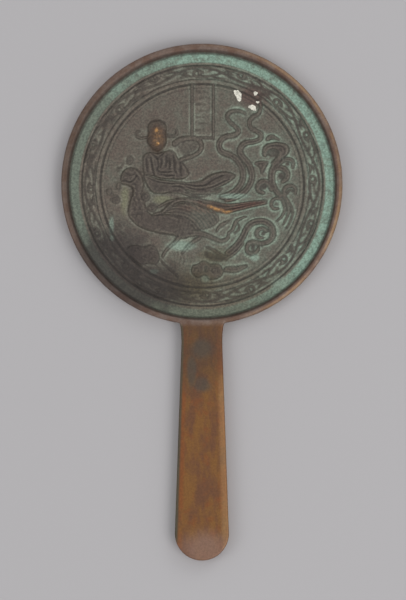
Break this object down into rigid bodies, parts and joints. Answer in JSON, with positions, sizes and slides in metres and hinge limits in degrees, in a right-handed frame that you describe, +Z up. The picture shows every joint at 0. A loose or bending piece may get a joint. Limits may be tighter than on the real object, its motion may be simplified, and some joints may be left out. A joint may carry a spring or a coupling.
{
  "type": "ancient bronze mirror",
  "caption": "Round cast-bronze hand mirror with a flat bar handle; the back has a raised rim, a leafy scroll band and a relief of a robed rider on a long-tailed bird among clouds.",
  "frame": {"origin": "centre of the disc's polished face, which lies on the ground", "axes": "+Z up, out of the relief back; +Y away from the handle, along the mirror's length"},
  "size_m": [0.105, 0.193, 0.005],
  "materials": {
    "patinated_bronze": "cast tin bronze with brown and green patina"
  },
  "bodies": {
    "root": {"bronze_mirror": "patinated_bronze"}
  },
  "joints": []
}
